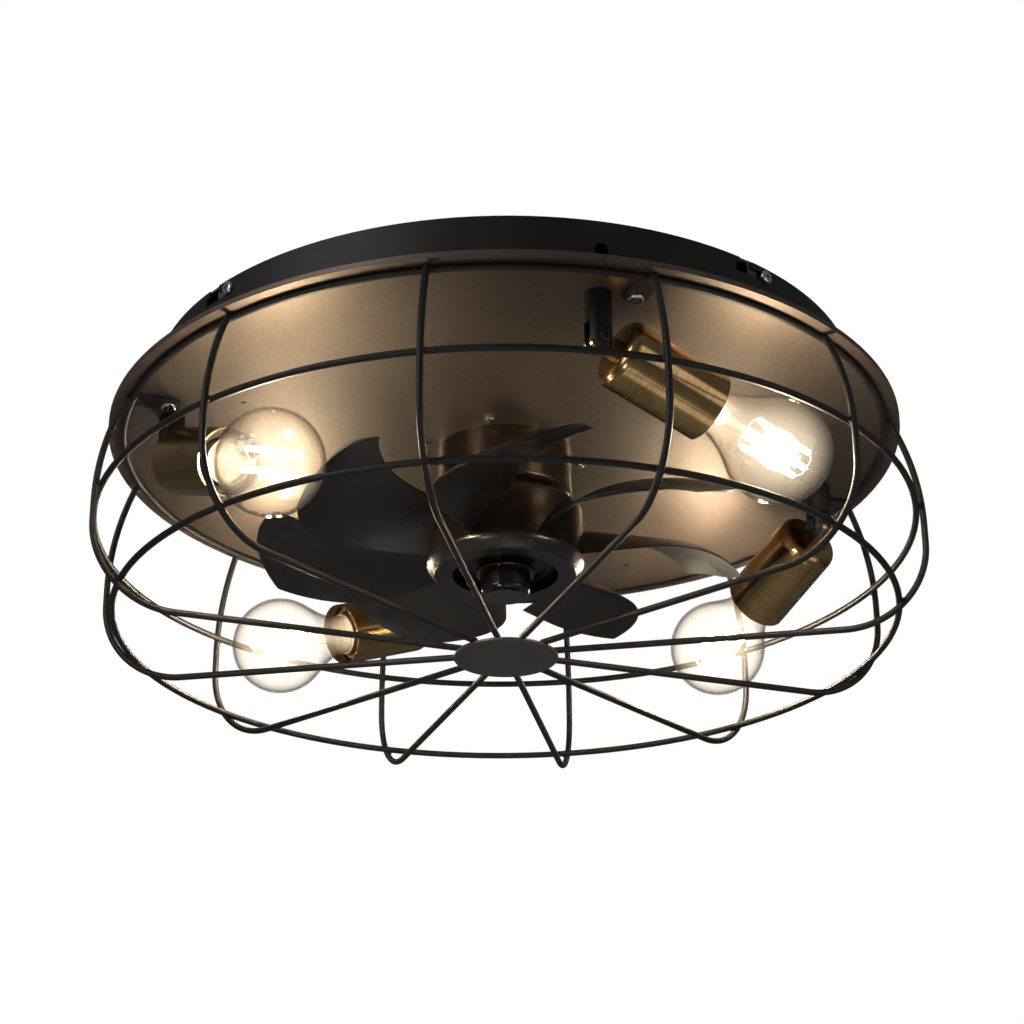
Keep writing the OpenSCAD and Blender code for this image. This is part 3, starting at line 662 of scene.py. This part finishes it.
def make_floor():
    """A plain pale floor below the fan. Only the camera sees its glow, so the glow does not light the fan."""
    signs = ((-1, -1), (1, -1), (1, 1), (-1, 1))
    corners = [(x * FLOOR_HALF, y * FLOOR_HALF, FLOOR_Z) for x, y in signs]
    mesh = bpy.data.meshes.new("floor")
    mesh.from_pydata(corners, [], [(0, 1, 2, 3)])
    made = bpy.data.objects.new("floor", mesh)
    bpy.context.scene.collection.objects.link(made)
    stuff, tree, shader = new_material("pale_floor")
    mottle = noise(tree, place(tree), 0.5)
    link(tree, blend_colours(tree, mottle, (0.80, 0.80, 0.79), (0.84, 0.84, 0.83)), shader, "Base Color")
    shader.inputs["Roughness"].default_value = 0.7
    shader.inputs["Emission Color"].default_value = (1, 1, 1, 1)
    seen = node(tree, "ShaderNodeLightPath").outputs["Is Camera Ray"]
    link(tree, maths(tree, "MULTIPLY", seen, FLOOR_GLOW), shader, "Emission Strength")
    mesh.materials.append(stuff)


def make_world():
    """White to the camera, and a soft grey studio to everything else."""
    world = bpy.data.worlds.new("studio")
    world.use_nodes = True
    tree = world.node_tree
    white = tree.nodes["Background"]
    white.inputs["Color"].default_value = (1, 1, 1, 1)
    white.inputs["Strength"].default_value = 1.0
    height = node(tree, "ShaderNodeSeparateXYZ",
                  {"Vector": node(tree, "ShaderNodeTexCoord").outputs["Generated"]}).outputs["Z"]
    tone = blend_colours(tree, remap(tree, height, -0.6, 0.7), (0.12, 0.115, 0.11), (0.55, 0.56, 0.58))
    studio = {"Color": tone, "Strength": WORLD_STRENGTH}
    soft = node(tree, "ShaderNodeBackground", studio).outputs["Background"]
    seen = node(tree, "ShaderNodeLightPath").outputs["Is Camera Ray"]
    mixed = node(tree, "ShaderNodeMixShader", {0: seen, 1: soft, 2: white.outputs["Background"]})
    tree.links.new(mixed.outputs["Shader"], tree.nodes["World Output"].inputs["Surface"])
    bpy.context.scene.world = world


def make_softbox(name, at, size, energy, colour=(1, 1, 1)):
    """A square area light turned to the fan."""
    light = bpy.data.lights.new(name, "AREA")
    light.shape = "SQUARE"
    light.size = size
    light.energy = energy
    light.color = colour
    made = bpy.data.objects.new(name, light)
    made.location = at
    made.rotation_euler = (Vector(FAN_CENTRE) - Vector(at)).to_track_quat("-Z", "Y").to_euler()
    made.visible_camera = False
    bpy.context.scene.collection.objects.link(made)


def make_camera():
    """Camera below the fan, looking up at it."""
    forward = CAMERA_AIM.normalized()
    right = forward.cross(UP).normalized()
    up = right.cross(forward)
    rolled_right = right * math.cos(CAMERA_ROLL) + up * math.sin(CAMERA_ROLL)
    rolled_up = up * math.cos(CAMERA_ROLL) - right * math.sin(CAMERA_ROLL)
    data = bpy.data.cameras.new("camera")
    data.lens = CAMERA_LENS
    data.sensor_width = CAMERA_SENSOR
    made = bpy.data.objects.new("camera", data)
    turn = Matrix((rolled_right, rolled_up, -forward)).transposed().to_4x4()
    made.matrix_world = Matrix.Translation(CAMERA_AT) @ turn
    bpy.context.scene.collection.objects.link(made)
    bpy.context.scene.camera = made


make_camera()
paint_all()
make_floor()
make_world()
make_softbox("key", at=(-1.3, -1.2, 0.5), size=0.9, energy=10)
make_softbox("fill", at=(1.4, -0.9, -0.2), size=0.9, energy=3)
make_softbox("strip", at=(-0.75, -1.25, -1.0), size=0.28, energy=2.2, colour=(1.0, 0.93, 0.82))
make_softbox("under", at=(0.2, -0.5, -1.4), size=0.7, energy=1.2)
bpy.context.scene.view_settings.view_transform = "Standard"
